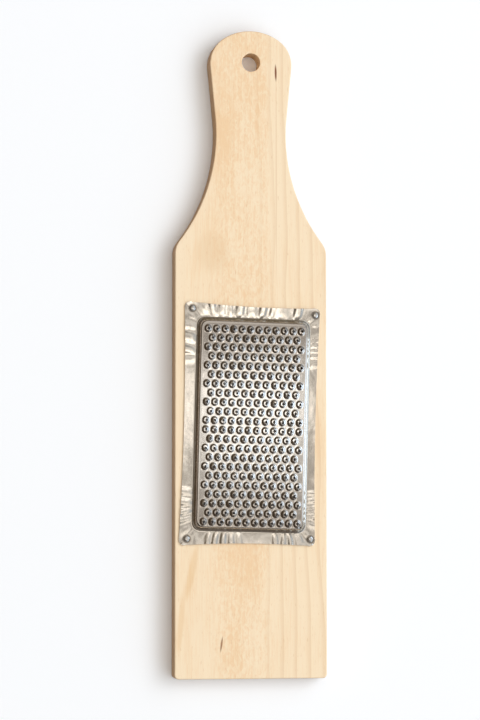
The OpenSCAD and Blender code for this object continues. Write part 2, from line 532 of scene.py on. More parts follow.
@dataclass(frozen=True)
class PaleWood:
    """Sanded bare wood, pale, with fine lengthwise grain and growth lines along its right side."""

    pale: Colour = (0.99, 0.806, 0.566)
    warm: Colour = (0.93, 0.66, 0.395)
    line: Colour = (0.72, 0.44, 0.21)
    end_grain: Colour = (0.62, 0.42, 0.24)
    growth_pitch: float = 6.2
    growth_lean: float = -0.022
    roughness: float = 0.55
    growth_strength: float = 0.28
    fleck_strength: float = 0.32
    end_grain_strength: float = 0.55
    marks: tuple[Mark, ...] = (
        Mark(11.7, 130.6, 0.6, 4.8, 1.5, 1.0, (0.22, 0.06, 0.02)),
        Mark(11.9, 85.0, 0.45, 62.0, 0.0, 0.30, (0.74, 0.47, 0.24)),
        Mark(-13.8, -134.2, 0.55, 4.4, -8.0, 0.85, (0.32, 0.13, 0.045)),
        Mark(-27.6, -101.0, 2.2, 16.0, -12.0, 0.42, (0.84, 0.54, 0.25)),
        Mark(-32.6, -124.0, 1.7, 17.0, -4.0, 0.34, (0.84, 0.54, 0.25)),
        Mark(-18.0, 46.0, 10.0, 12.0, 10.0, 0.32, (0.82, 0.55, 0.30)),
    )

    def material(self) -> bpy.types.Material:
        """Builds the wood's nodes.

        Returns:
            The material.
        """
        material, graph = new_material("pale_wood")
        place = graph.place_in_mm()
        x, y, _ = graph.axes(place)
        fibre = graph.noise(place, (0.6, 14.0, 0.6), detail=3.0, roughness=0.6, distortion=0.3)
        figure = graph.noise(place, (1.2, 2.6, 1.2), detail=3.0, shift=(2, 8, 5), distortion=0.9)
        figured = figure.between(0.3, 0.7) * x.between(14.0, 4.0) * x.between(-24.0, -10.0)
        thread = graph.noise(place, (0.16, 5.0, 0.16), detail=1.0, shift=(3, 1, 2))
        cloud = graph.noise(place, (17.0, 60.0, 17.0), detail=2.0, shift=(5, 2, 1))
        wander = (graph.noise(place, (30.0, 70.0, 30.0), detail=1.0, shift=(1, 7, 3)) - 0.5) * 7.0
        growth = ((x - y * self.growth_lean + wander) / self.growth_pitch).fraction()
        at_right = x.between(-4.0, 17.0)
        growth_line = growth.between(0.55, 0.97) * growth.between(1.0, 0.97) * (at_right * 0.8 + 0.12)
        fleck = graph.noise(place, (0.5, 3.2, 0.5), detail=1.0, shift=(9, 4, 6)).between(0.66, 0.74)
        tone = (fibre - 0.5) * 1.1 + (thread - 0.5) * 0.5 + (cloud - 0.5) * 1.5 + figured * 0.52 + 0.19
        _, lengthways, _ = graph.axes(graph.node("ShaderNodeTexCoord").outputs["Normal"])
        at_end = abs(lengthways).between(0.55, 0.95)
        colour = graph.layered(
            self.pale,
            (tone.between(0.0, 1.0), self.warm),
            (growth_line * self.growth_strength, self.line),
            (fleck * self.fleck_strength, self.line),
            *(mark.layer(x, y) for mark in self.marks),
            (at_end * self.end_grain_strength, self.end_grain),
        )
        graph.surface({
            "Base Color": colour,
            "Roughness": self.roughness + (thread - 0.5) * 0.2,
            "Specular IOR Level": 0.3,
            "Normal": graph.bump(fibre * 0.6 + thread * 0.5 - fleck * 0.3, distance=0.00006, strength=0.8),
        })
        return material


@dataclass(frozen=True)
class BrightMetal:
    """Bright sheet metal or wire, with fine scratches and a slightly uneven surface.

    Above a set height its colour is a painted sheen, with painted shade towards the platform's ends and on
    the cones of the burst holes.
    """

    name: str
    colour: Colour
    dull_colour: Colour
    roughness: float
    unevenness: float
    scratch: float
    # Painted light: above this height the colour is a painted sheen, with painted shade at the platform's
    # ends and on the cones.
    painted_light_above: float = 1000.0
    painted_sheen: Colour = (0.98, 0.96, 0.925)
    painted_shade: Colour = (0.38, 0.32, 0.27)
    painted_shade_at_ends: float = 0.63
    painted_shade_on_cones: float = 0.95
    marks: tuple[Mark, ...] = ()

    def material(self) -> bpy.types.Material:
        """Builds the metal's nodes.

        Returns:
            The material.
        """
        material, graph = new_material(self.name)
        place = graph.place_in_mm()
        wave = graph.noise(place, (6.0, 7.0, 6.0), detail=2.0)
        spangle = graph.noise(place, (1.4, 2.2, 1.4), detail=3.0, shift=(4, 4, 4))
        scratches = graph.noise(place, (0.12, 2.4, 0.12), detail=2.0, shift=(7, 1, 0))
        dull = spangle.between(0.45, 0.75) * 0.6
        x, y, z = graph.axes(place)
        # Painted light on the platform: a painted sheen on its top, painted shade towards its ends and on the
        # cones of the burst holes.
        ends = abs(y - SHEET_PLACE.y).between(10.0, 46.0)
        sheen_and_end_shade = graph.mix(ends * self.painted_shade_at_ends, self.painted_sheen, self.painted_shade)
        on_cone = z.between(self.painted_light_above + 0.1, self.painted_light_above + 0.3)
        below_tip = z.between(self.painted_light_above + 0.62, self.painted_light_above + 0.54)
        colour = graph.layered(
            self.colour,
            (dull, self.dull_colour),
            (z.between(self.painted_light_above - 0.3, self.painted_light_above), sheen_and_end_shade),
            (on_cone * below_tip * self.painted_shade_on_cones, self.painted_shade),
            *(mark.layer(x, y) for mark in self.marks),
        )
        graph.surface({
            "Base Color": colour,
            "Metallic": 1.0,
            "Roughness": self.roughness + dull * 0.1 + (scratches - 0.5) * 0.08,
            "Normal": graph.bump(wave * self.unevenness + scratches * self.scratch, distance=0.0004),
        })
        return material


# The last number is the height above which the tinplate gets its painted sheen and painted shade.
TINPLATE = BrightMetal("tinplate", (0.77, 0.725, 0.66), (0.69, 0.64, 0.57), 0.15, 0.35, 0.02, 12.95)
NAIL_STEEL = BrightMetal("nail_steel", (0.78, 0.76, 0.73), (0.55, 0.52, 0.48), 0.24, 0.30, 0.03)


def dress(obj: bpy.types.Object, material: bpy.types.Material, smooth_to: float) -> None:
    """Gives a piece its only material, and shades it smooth except across sharp edges.

    Args:
        obj: The piece.
        material: Its material.
        smooth_to: Largest angle in degrees between two faces that look like one curve.
    """
    focus(obj)
    obj.data.materials.clear()
    obj.data.materials.append(material)
    bpy.ops.object.shade_smooth_by_angle(angle=math.radians(smooth_to))


# The board


@dataclass
class Board:
    """The wooden paddle, with its hanging hole, the window behind the sheet and the nails' bores."""

    length: float = 300.0
    width: float = 71.0
    thickness: float = 10.0
    foot_corner_r: float = 2.0
    edge_r: float = 0.6
    head_w: float = 38.5
    crown_r: float = 23.0
    head_r: float = 14.0
    neck_w: float = 33.0
    neck_from_crown: float = 48.5
    sweep_r: float = 82.5
    shoulder_r: float = 10.0
    hole_d: float = 8.5
    hole_from_crown: float = 14.8
    rim_r: float = 0.35
    window_w: float = 49.26
    window_l: float = 94.77
    window_r: float = 4.0
    bore_d: float = 1.24
    bore_depth: float = 8.1
    finish: PaleWood = PaleWood()

    def half_outline(self) -> bpy.types.Object:
        """Draws the right half of the outline, from the foot's middle to the crown.

        Returns:
            The drawn line.
        """
        half_w, crown_y = self.width / 2, self.length / 2
        foot_x, foot_y = half_w - self.foot_corner_r, self.foot_corner_r - crown_y
        sweep = Vector((self.neck_w / 2 + self.sweep_r, crown_y - self.neck_from_crown))
        shoulder_x = half_w - self.shoulder_r
        reach = self.sweep_r + self.shoulder_r
        drop = math.sqrt(reach**2 - (sweep.x - shoulder_x) ** 2)
        sweep_turn = math.degrees(math.atan2(drop, sweep.x - shoulder_x))
        head_x = self.head_w / 2 - self.head_r
        above = math.sqrt((self.crown_r - self.head_r) ** 2 - head_x**2)
        head = Vector((head_x, crown_y - self.crown_r + above))
        crown_turn = math.degrees(math.atan2(above, head_x))
        span = sweep - head
        taper = math.degrees(
            math.atan2(span.y, span.x) + math.acos((self.head_r + self.sweep_r) / span.length)
        )
        pen = Pen("board", 0, -crown_y)
        pen.line(foot_x, -crown_y)
        pen.arc(foot_x, foot_y, 90, 8)
        pen.line(half_w, sweep.y - drop)
        pen.arc(shoulder_x, sweep.y - drop, sweep_turn, 12)
        pen.arc(sweep.x, sweep.y, taper - sweep_turn, 28)
        head_start = math.radians(taper)
        pen.line(head.x + self.head_r * math.cos(head_start), head.y + self.head_r * math.sin(head_start))
        pen.arc(head.x, head.y, crown_turn - taper, 18)
        pen.arc(0, crown_y - self.crown_r, 90 - crown_turn, 14)
        return pen.done()

    def blank(self) -> bpy.types.Object:
        """Saws the board out, without its holes, and sands its edges round.

        Returns:
            The solid blank.
        """
        board = self.half_outline()
        carry_out(board, "MIRROR", use_axis=(True, False, False), use_mirror_merge=True, merge_threshold=0.01)
        with editing(board):
            pick_all()
            bpy.ops.mesh.remove_doubles(threshold=0.001)
            bpy.ops.mesh.edge_face_add()
            bpy.ops.mesh.extrude_region_move(TRANSFORM_OT_translate={"value": (0, 0, self.thickness)})
            face_outward()
        round_edges(board, lambda edge: climb(edge) < 0.01, self.edge_r, segments=4)
        return board

    @property
    def hole_y(self) -> float:
        """Lengthways place of the hanging hole."""
        return self.length / 2 - self.hole_from_crown

    @staticmethod
    def drill(middle: Sequence[float], diameter: float, depth: float, corners: int) -> bpy.types.Object:
        """A round hole as a solid.

        Args:
            middle: Middle of the solid.
            diameter: Its diameter.
            depth: Its height.
            corners: Number of corners that stand for its circle.

        Returns:
            The solid.
        """
        cylinder = bpy.ops.mesh.primitive_cylinder_add
        return added(cylinder, vertices=corners, radius=diameter / 2, depth=depth, location=middle)

    def window_cutter(self) -> bpy.types.Object:
        """The window as a solid with rounded corners.

        Returns:
            The solid.
        """
        middle = (SHEET_PLACE.x, SHEET_PLACE.y, self.thickness / 2)
        cutter = added(bpy.ops.mesh.primitive_cube_add, size=1.0, location=middle)
        with editing(cutter):
            pick_all()
            bpy.ops.transform.resize(value=(self.window_w, self.window_l, self.thickness + 4))
        round_edges(cutter, lambda edge: climb(edge) > 1, self.window_r, segments=7)
        return cutter

    def bore_cutter(self, side: int, end: int) -> bpy.types.Object:
        """One nail's bore as a solid.

        Args:
            side: -1 for left, 1 for right.
            end: -1 for the foot's end, 1 for the handle's end.

        Returns:
            The solid.
        """
        over = 1.0
        middle = SHEET_PLACE.matrix() @ SHEET_PLACE.nail(side, end).to_3d()
        middle.z = self.thickness + over - (self.bore_depth + over) / 2
        return self.drill(middle, self.bore_d, self.bore_depth + over, 16)

    def build(self) -> bpy.types.Object:
        """Makes the whole board and dresses it.

        Returns:
            The finished piece.
        """
        board = self.blank()
        bores = [self.bore_cutter(side, end) for side in (-1, 1) for end in (-1, 1)]
        hole = self.drill((0, self.hole_y, self.thickness / 2), self.hole_d, self.thickness + 4, 72)
        cutter = joined([hole, self.window_cutter(), *bores], "cutter")
        carry_out(board, "BOOLEAN", operation="DIFFERENCE", solver="EXACT", object=cutter)
        delete(cutter)
        round_edges(board, self._on_hole_rim, self.rim_r, segments=3)
        dress(board, self.finish.material(), smooth_to=34)
        carry_out(board, "WEIGHTED_NORMAL", keep_sharp=True)
        finish_piece(board)
        return board

    def _on_hole_rim(self, edge: bmesh.types.BMEdge) -> bool:
        """True for the edges where the hanging hole meets a face of the board."""
        return all(
            abs(math.hypot(end.co.x, end.co.y - self.hole_y) - self.hole_d / 2) < 0.02
            and min(abs(end.co.z), abs(end.co.z - self.thickness)) < 0.02
            for end in edge.verts
        )


# The grating sheet


class Side(Enum):
    """The four edges of the sheet, each by its first corner, anticlockwise from the lower left."""

    FOOT_END = 0
    RIGHT = 1
    HANDLE_END = 2
    LEFT = 3


# The side and the end of each corner, anticlockwise from the lower left
CORNERS = ((-1, -1), (1, -1), (1, 1), (-1, 1))


@dataclass(frozen=True)
class Crimp:
    """A fold of the margin across one edge: a ridge, or a valley where the rise is negative."""

    side: Side
    at: float
    half_width: float
    rise: float


def row_of_crimps(side: Side, *folds: tuple[float, float, float]) -> tuple[Crimp, ...]:
    """Crimps along one edge, each given by its place, half width and rise in millimetres."""
    return tuple(Crimp(side, *fold) for fold in folds)


CRIMPS = (
    *row_of_crimps(
        Side.HANDLE_END,
        (-23.0, 1.6, 0.30), (-19.4, 1.9, 0.42), (-15.2, 2.1, 0.40), (-11.2, 1.5, 0.30), (-6.8, 2.2, 0.44),
        (-1.2, 2.6, 0.34), (3.9, 1.9, 0.42), (8.6, 1.5, 0.32), (13.0, 3.4, 0.36), (20.6, 2.2, 0.44),
    ),
    *row_of_crimps(
        Side.LEFT,
        (45.0, 2.0, 0.34), (39.6, 2.6, 0.40), (33.6, 1.9, 0.34), (29.4, 1.6, 0.24),
        (-31.6, 2.0, 0.34), (-36.4, 1.9, 0.42), (-40.6, 1.7, 0.42), (-44.2, 1.6, 0.34),
    ),
    *row_of_crimps(
        Side.RIGHT,
        (41.6, 0.8, 0.26), (39.6, 0.8, 0.28), (37.4, 0.9, 0.30), (35.0, 0.9, 0.26), (32.6, 1.0, 0.30),
        (28.6, 1.6, 0.24), (-30.8, 1.2, 0.24), (-34.2, 1.4, 0.32), (-37.6, 0.9, 0.34), (-39.8, 0.9, 0.34),
        (-42.2, 1.0, 0.34), (-45.2, 1.2, 0.28),
    ),
    *row_of_crimps(
        Side.FOOT_END,
        (-19.0, 1.4, 0.34), (-15.6, 1.5, 0.42), (-11.9, 1.5, 0.42), (-8.2, 1.7, 0.34), (-4.6, 1.6, 0.24),
        (12.4, 1.5, 0.32), (16.4, 1.2, 0.38), (19.4, 1.2, 0.38), (23.0, 1.5, 0.30),
    ),
)


@dataclass
class GraterPlate:
    """The pressed tinplate sheet, with its platform of burst holes and its crimped margins."""

    across: int = 12
    rows_a_stroke: int = 11
    strokes: int = 2
    pitch_x: float = 3.96
    pitch_y: float = 4.225
    stretch_y: float = 1.10
    crater_r: float = 1.99
    foot_r: float = 1.89
    foot_h: float = 0.04
    brim_r: float = 1.02
    brim_h: float = 0.61
    lip_r: float = 0.66
    crater_h: float = 0.67
    throat_r: float = 0.48
    throat_h: float = 0.14
    tear: float = 0.26
    lip_jitter: float = 0.15
    lip_flatness: float = 0.35
    brim_jitter: float = 0.08
    field_shift: tuple[float, float] = (0.15, -0.6)
    platform_h: float = 2.6
    wall_run: float = 2.2
    wall_steps: int = 9
    platform_r: float = 4.5
    margin_left: float = 5.8
    margin_right: float = 4.5
    margin_end: float = 6.2
    corner_r: float = 3.0
    draw_in: float = 1.1
    margin_steps: tuple[float, ...] = (0.1, 0.25, 0.42, 0.6, 0.78, 0.92, 1.0)
    spring: tuple[float, float, float, float] = (0.56, 0.12, 0.42, 0.25)
    crimp_scale: float = 0.86
    crimp_lean: float = 1.0
    swell_h: float = 0.09
    swell_cell: float = 5.2
    nailed_flat: float = 2.6
    crease_h: float = 0.20
    crease_half_w: float = 0.7
    fan_h: float = 0.27
    fan_folds: float = 7.0
    thickness: float = 0.4
    rim_share: float = 0.4
    rim_above: float = 0.4
    # Painted shade round each nail head: a dark soft disc of this radius and colour.
    nail_shade_r: float = 2.45
    nail_shade_colour: Colour = (0.10, 0.075, 0.05)
    finish: BrightMetal = TINPLATE
    crimps: tuple[Crimp, ...] = CRIMPS

    @property
    def rows(self) -> int:
        """Number of rows of burst holes."""
        return self.rows_a_stroke * self.strokes

    @property
    def field_half(self) -> Vector:
        """Half the width and length of the field of burst holes."""
        return Vector((self.across * self.pitch_x / 2, self.rows * self.pitch_y / 2))

    def next_ring(self, tile: bpy.types.Object, radius: float, height: float, round_it: bool = False) -> None:
        """Extrudes the selected ring of a tile to a new radius and height.

        Args:
            tile: The tile, in edit mode.
            radius: Radius of the new ring.
            height: Height of the new ring above the platform.
            round_it: True where the ring that is extruded isn't round yet.
        """
        bpy.ops.mesh.extrude_edges_move(TRANSFORM_OT_translate={"value": (0, 0, 0)})
        if round_it:
            bpy.ops.transform.tosphere(value=1.0)
            stretch(1, self.stretch_y, 1)
        ring = picked(tile)
        factor = radius / (sum(point.co.xy.length for point in ring) / len(ring))
        rise = height - ring[0].co.z
        stretch(factor, factor, 1)
        bpy.ops.transform.translate(value=(0, 0, rise))

    def burst_hole(self) -> bpy.types.Object:
        """Models one tile of the field, with one burst hole in its middle.

        Returns:
            The tile.
        """
        tile = added(bpy.ops.mesh.primitive_grid_add, x_subdivisions=3, y_subdivisions=3, size=1.0)
        with editing(tile):
            pick_all()
            bpy.ops.transform.resize(value=(self.pitch_x, self.pitch_y, 1))
            pick_points(tile, lambda vertex: not vertex.is_boundary)
            bpy.ops.mesh.delete(type="VERT")
            pick_all()
            self.next_ring(tile, self.crater_r, 0.0, round_it=True)
            self.next_ring(tile, self.foot_r, self.foot_h)
            self.next_ring(tile, self.brim_r, self.brim_h)
            self.next_ring(tile, self.lip_r, self.crater_h)
            self.next_ring(tile, self.throat_r, self.throat_h)
        return tile

    def flat_end(self, side: int) -> bpy.types.Object:
        """Models the flat half tile that closes a short row at one side."""
        middle = (side * (self.field_half.x - self.pitch_x / 4), 0, 0)
        grid = bpy.ops.mesh.primitive_grid_add
        end = added(grid, x_subdivisions=2, y_subdivisions=3, size=1.0, location=middle)
        bpy.ops.transform.resize(value=(self.pitch_x / 2, self.pitch_y, 1))
        bpy.ops.object.transform_apply(location=True, rotation=True, scale=True)
        return end

    def row(self, tile: bpy.types.Object, count: int) -> bpy.types.Object:
        """Sets copies of the tile side by side.

        Args:
            tile: The tile.
            count: Number of burst holes in the row.

        Returns:
            The row, with its middle at the origin.
        """
        row = copy_of(tile, (-(count - 1) / 2 * self.pitch_x, 0, 0))
        carry_out(
            row, "ARRAY", count=count, use_relative_offset=False, use_constant_offset=True,
            constant_offset_displace=(self.pitch_x, 0, 0), use_merge_vertices=True, merge_threshold=0.01,
        )
        return row

    def field(self) -> bpy.types.Object:
        """Lays out all rows; long and short rows alternate within a stroke of the punch.

        Returns:
            The field of burst holes, welded into one surface.
        """
        tile = self.burst_hole()
        long_row = self.row(tile, self.across)
        holes = self.row(tile, self.across - 1)
        short_row = joined([holes, self.flat_end(-1), self.flat_end(1)], "short_row")
        rows = []
        for number in range(self.rows):
            is_short = (number % self.rows_a_stroke) % 2 == 1
            lengthways = (number - (self.rows - 1) / 2) * self.pitch_y
            rows.append(copy_of(short_row if is_short else long_row, (0, lengthways, 0)))
        plate = joined(rows, "grater_plate")
        delete(tile, long_row, short_row)
        with editing(plate):
            pick_all()
            bpy.ops.mesh.remove_doubles(threshold=0.02)
            self.tear_aside(plate)
            pick_points(plate, lambda vertex: vertex.co.z > self.crater_h - 0.005)
            at_lip = (0, 0, self.crater_h)
            stretch(1, 1, 1 / self.lip_flatness, at_lip)
            jitter(self.lip_jitter, seed=11)
            stretch(1, 1, self.lip_flatness, at_lip)
            pick_points(plate, lambda vertex: abs(vertex.co.z - self.brim_h) < 0.005)
            jitter(self.brim_jitter, seed=5)
            pick_all()
            bpy.ops.transform.translate(value=(*self.field_shift, self.thickness + self.platform_h))
        return plate

    def tear_aside(self, plate: bpy.types.Object) -> None:
        """Moves each hole off the middle of its crater, one a little differently from the next.

        Args:
            plate: The field of burst holes, in edit mode.
        """
        mesh = bmesh.from_edit_mesh(plate.data)
        for vertex in mesh.verts:
            if vertex.co.z > self.crater_h - 0.005 or abs(vertex.co.z - self.throat_h) < 0.005:
                odd = noise.noise_vector(Vector((vertex.co.x / 3.3, vertex.co.y / 3.7, 0.0)))
                vertex.co.x += self.tear * (0.9 + 0.8 * odd.x)
                vertex.co.y += self.tear * (-0.25 + 1.3 * odd.y)
        bmesh.update_edit_mesh(plate.data)

    def platform_corners(self, out: float) -> list[Vector]:
        """Corners of a rectangle round the platform's foot, anticlockwise from the lower left."""
        half_w, half_l = SHEET_PLACE.foot_w / 2 + out, SHEET_PLACE.foot_l / 2 + out
        return [Vector((x * half_w, y * half_l)) for x, y in CORNERS]

    def sheet_corners(self) -> list[Vector]:
        """The sheet's own corners, in the same order."""
        half_w = SHEET_PLACE.foot_w / 2
        sides = {-1: -half_w - self.margin_left, 1: half_w + self.margin_right}
        return [Vector((sides[x], SHEET_PLACE.trimmed_y(x, y, self.margin_end))) for x, y in CORNERS]

    def edge_share(self, home: Vector) -> tuple[Side, float]:
        """Finds which edge a point of the field's border belongs to, and how far along it lies.

        Args:
            home: The point's place on the field's border.

        Returns:
            The edge, and the share of its length from its first corner, anticlockwise.
        """
        half = self.field_half
        if abs(home.x) > half.x - 0.001:
            share = (home.y / half.y + 1) / 2
            return (Side.RIGHT, share) if home.x > 0 else (Side.LEFT, 1 - share)
        share = (home.x / half.x + 1) / 2
        return (Side.FOOT_END, share) if home.y < 0 else (Side.HANDLE_END, 1 - share)

    @staticmethod
    def on_ring(side: Side, share: float, corners: list[Vector], radius: float, bow: float) -> Vector:
        """A point on a rounded four-sided ring.

        Args:
            side: The edge that the point is on.
            share: Share of the edge's length from its first corner.
            corners: The ring's four corners.
            radius: Length that each corner's curve takes off both edges.
            bow: How far the middle of each edge is drawn in.

        Returns:
            The point.
        """
        here, ahead_corner = corners[side.value], corners[(side.value + 1) % 4]
        length = (ahead_corner - here).length
        ahead = (ahead_corner - here) / length
        inward = Vector((-ahead.y, ahead.x))
        near, far = share * length, (1 - share) * length
        if min(near, far) >= radius:
            return here + ahead * near + inward * bow * 4 * share * (1 - share)
        corner, other = (here, corners[side.value - 1]) if near < far else (
            ahead_corner, corners[(side.value + 2) % 4]
        )
        along = ahead if near < far else -ahead
        back = (other - corner).normalized()
        t = 0.5 + 0.5 * min(near, far) / radius
        return corner + radius * ((1 - t) ** 2 * back + t * t * along)

    def relief(self, side: Side, place: Vector, out: float) -> float:
        """Height of the margin above where it lies flat.

        Args:
            side: The nearest edge.
            place: The point, in the sheet's own frame.
            out: 0 at the platform's foot and 1 at the sheet's edge.

        Returns:
            The height.
        """
        along = place.x if side in (Side.FOOT_END, Side.HANDLE_END) else place.y
        clear = 1.0
        for nail in SHEET_PLACE.nails():
            clear *= 1 - math.exp(-(((place - nail).length / self.nailed_flat) ** 2))
        height = self.spring[side.value] * out * (0.6 + 0.4 * out)
        full_from = math.sin(math.pi / 2 * min(1.0, out / 0.5))
        for crimp in self.crimps:
            lean = math.sin(crimp.at * 5.3) * self.crimp_lean
            away = abs(along - crimp.at - lean * (out - 0.5)) / crimp.half_width
            if crimp.side is side and away < 1:
                height += self.crimp_scale * crimp.rise * (1 - away**3) * full_from
        swell = noise.noise(Vector((place.x / self.swell_cell, place.y / self.swell_cell, side.value * 7.0)))
        height += self.swell_h * swell * math.sin(math.pi / 2 * out)
        return clear * (height + self.corner_folds(place, out))

    def corner_folds(self, place: Vector, out: float) -> float:
        """Height of the creases that run from the platform's corner to the nail and fan out round it.

        Args:
            place: The point, in the sheet's own frame.
            out: 0 at the platform's foot and 1 at the sheet's edge.

        Returns:
            The height.
        """
        x_side, y_side = (1 if place.x > 0 else -1), (1 if place.y > 0 else -1)
        inside = self.platform_r * 0.6
        hub = Vector((x_side * (SHEET_PLACE.foot_w / 2 - inside), y_side * (SHEET_PLACE.foot_l / 2 - inside)))
        to_nail = SHEET_PLACE.nail(x_side, y_side) - hub
        from_hub = place - hub
        if from_hub.x * x_side < 0 or from_hub.y * y_side < 0:
            return 0.0
        turn = from_hub.angle_signed(to_nail)
        off_crease = abs(math.sin(turn)) * from_hub.length
        crease = self.crease_h * math.exp(-((off_crease / self.crease_half_w) ** 2))
        fan = self.fan_h * (0.5 + 0.5 * math.sin(turn * self.fan_folds + x_side)) * math.sin(math.pi * out)
        return crease * math.sin(math.pi * (0.15 + 0.85 * out)) + fan

    def add_ring(self, plate: bpy.types.Object, place_of: Callable[[Side, float], Vector]) -> None:
        """Extrudes the sheet's selected border and puts each new point at its place.

        Args:
            plate: The sheet, in edit mode.
            place_of: Gives the place of the point at a share of an edge.
        """
        bpy.ops.mesh.extrude_edges_move(TRANSFORM_OT_translate={"value": (0, 0, 0)})
        mesh = bmesh.from_edit_mesh(plate.data)
        home = mesh.verts.layers.float_vector["home"]
        for vertex in mesh.verts:
            if vertex.select:
                vertex.co = place_of(*self.edge_share(vertex[home]))
        bmesh.update_edit_mesh(plate.data)

    def remember_border(self, plate: bpy.types.Object) -> None:
        """Selects the field's border and notes on each of its points where it is from the field's middle."""
        half, shift = self.field_half, Vector((*self.field_shift, 0))

        def on_border(edge: bmesh.types.BMEdge) -> bool:
            """True for an edge whose two ends are on the field's border."""
            places = [end.co - shift for end in edge.verts]
            return edge.is_boundary and all(
                abs(place.x) > half.x - 0.01 or abs(place.y) > half.y - 0.01 for place in places
            )

        pick_edges(plate, on_border)
        mesh = bmesh.from_edit_mesh(plate.data)
        home = mesh.verts.layers.float_vector.new("home")
        for vertex in mesh.verts:
            vertex[home] = vertex.co - shift
        bmesh.update_edit_mesh(plate.data)

    def press_margins(self, plate: bpy.types.Object) -> None:
        """Draws the sheet out from the field's border: the platform's edge, its wall and the margins."""
        def wall_point(side: Side, share: float, up: float) -> Vector:
            """A point of the platform's wall, at a share of its height."""
            rise = self.platform_h * (1 - math.cos(math.pi * up)) / 2
            ring = self.platform_corners(-self.wall_run * up)
            place = self.on_ring(side, share, ring, self.platform_r - self.wall_run * up / 2, 0.0)
            return Vector((*place, self.thickness + rise))

        def margin_point(side: Side, share: float, out: float) -> Vector:
            """A point of the margin, at a share of the way out to the sheet's edge."""
            foot = self.on_ring(side, share, self.platform_corners(0.0), self.platform_r, 0.0)
            edge = self.on_ring(side, share, self.sheet_corners(), self.corner_r, self.draw_in)
            place = foot.lerp(edge, out)
            return Vector((*place, self.thickness + self.relief(side, place, out)))

        with editing(plate, "EDGE"):
            self.remember_border(plate)
            for step in range(self.wall_steps + 1):
                up = 1 - step / self.wall_steps
                self.add_ring(plate, lambda side, share: wall_point(side, share, up))
            bpy.ops.mesh.subdivide(number_cuts=2)
            for out in self.margin_steps:
                self.add_ring(plate, lambda side, share: margin_point(side, share, out))

    def painted_nail_shade(self) -> tuple[Mark, ...]:
        """Painted shade round the nail heads: a dark soft disc on the tinplate at each nail."""
        size, look = (self.nail_shade_r, self.nail_shade_r), (0.0, 1.0, self.nail_shade_colour)
        seats = [SHEET_PLACE.matrix() @ nail.to_3d() for nail in SHEET_PLACE.nails()]
        return tuple(Mark(seat.x, seat.y, *size, *look) for seat in seats)

    def build(self) -> bpy.types.Object:
        """Makes the whole sheet and dresses it.

        Returns:
            The finished piece.
        """
        plate = self.field()
        self.press_margins(plate)
        with editing(plate, "FACE"):
            face_outward()
            mesh = bmesh.from_edit_mesh(plate.data)
            if sum(face.normal.z * face.calc_area() for face in mesh.faces) < 0:
                bpy.ops.mesh.flip_normals()
        lip = plate.vertex_groups.new(name="lip")
        rim_z = self.thickness + self.platform_h + self.rim_above
        body = [vertex.index for vertex in plate.data.vertices if vertex.co.z < rim_z]
        lip.add(body, 1.0, "REPLACE")
        carry_out(
            plate, "SOLIDIFY", thickness=self.thickness, offset=-1.0, vertex_group="lip",
            thickness_vertex_group=self.rim_share, use_even_offset=False,
        )
        # The tinplate gets painted shade round the nail heads.
        dress(plate, replace(self.finish, marks=self.painted_nail_shade()).material(), smooth_to=26)
        finish_piece(plate, SHEET_PLACE.matrix())
        return plate


# The nails


@dataclass
class Nail:
    """One small round-headed nail, driven home through a corner of the sheet."""

    name: str
    side: int
    end: int
    head_d: float = 3.0
    head_t: float = 0.1
    dome: float = 0.6
    dent: float = 0.05
    shank_d: float = 1.2
    length: float = 8.5
    point: float = 1.8
    finish: BrightMetal = NAIL_STEEL

    def build(self, seed: int) -> bpy.types.Object:
        """Makes the nail and dresses it.

        Args:
            seed: Sets how this nail's head was dented by the hammer.

        Returns:
            The finished piece.
        """
        nail = added(bpy.ops.mesh.primitive_uv_sphere_add, segments=32, ring_count=16, radius=1.0)
        nail.name = self.name + "_head_and_shank"
        head_r, shank_r = self.head_d / 2, self.shank_d / 2
        with editing(nail):
            pick_all()
            bpy.ops.mesh.bisect(plane_co=(0, 0, 0), plane_no=(0, 0, 1), clear_inner=True, use_fill=False)
            pick_all()
            stretch(head_r, head_r, self.dome)
            bpy.ops.transform.translate(value=(0, 0, self.head_t))
            pick_points(nail, lambda vertex: vertex.co.z > self.head_t + 0.5 * self.dome)
            jitter(self.dent, seed)
            self._draw_down(nail, 1.0, self.head_t)
            self._draw_down(nail, shank_r / head_r, 0.0)
            self._draw_down(nail, 1.0, self.length - self.point)
            self._draw_down(nail, 0.04, self.point)
            bpy.ops.mesh.edge_face_add()
            face_outward()
        dress(nail, self.finish.material(), smooth_to=40)
        seat = SHEET_PLACE.nail(self.side, self.end)
        finish_piece(nail, SHEET_PLACE.matrix() @ Matrix.Translation((*seat, SHEET_PLACE.thickness)))
        return nail

    @staticmethod
    def _draw_down(nail: bpy.types.Object, factor: float, depth: float) -> None:
        """Extrudes the nail's lower border down by a depth, drawn in by a factor."""
        lowest = min(vertex.co.z for vertex in bmesh.from_edit_mesh(nail.data).verts)
        pick_points(nail, lambda vertex: vertex.co.z < lowest + 0.001 and vertex.is_boundary)
        bpy.ops.mesh.extrude_edges_move(TRANSFORM_OT_translate={"value": (0, 0, -depth)})
        stretch(factor, factor, 1)


# The studio


@dataclass(frozen=True)
class Softbox:
    """A rectangular lamp that points at one place on the board."""

    name: str
    place: Place
    size: tuple[float, float]
    radiance: float
    colour: Colour = (1.0, 1.0, 1.0)
    aim: Place = (0.0, 0.0, 0.0)
    only_mirrored: bool = False

    def hang(self) -> None:
        """Puts the lamp in the scene."""
        lamp = added(bpy.ops.object.light_add, type="AREA", location=self.place)
        lamp.name = self.name
        lamp.data.shape = "RECTANGLE"
        lamp.data.size, lamp.data.size_y = self.size
        lamp.data.energy = self.radiance * math.pi * self.size[0] * self.size[1]
        lamp.data.color = self.colour
        lamp.visible_camera = False
        lamp.visible_diffuse = not self.only_mirrored
        lamp.visible_glossy = self.only_mirrored
        away = Vector(self.place) - Vector(self.aim)
        lamp.rotation_euler = away.to_track_quat("Z", "Y").to_euler()


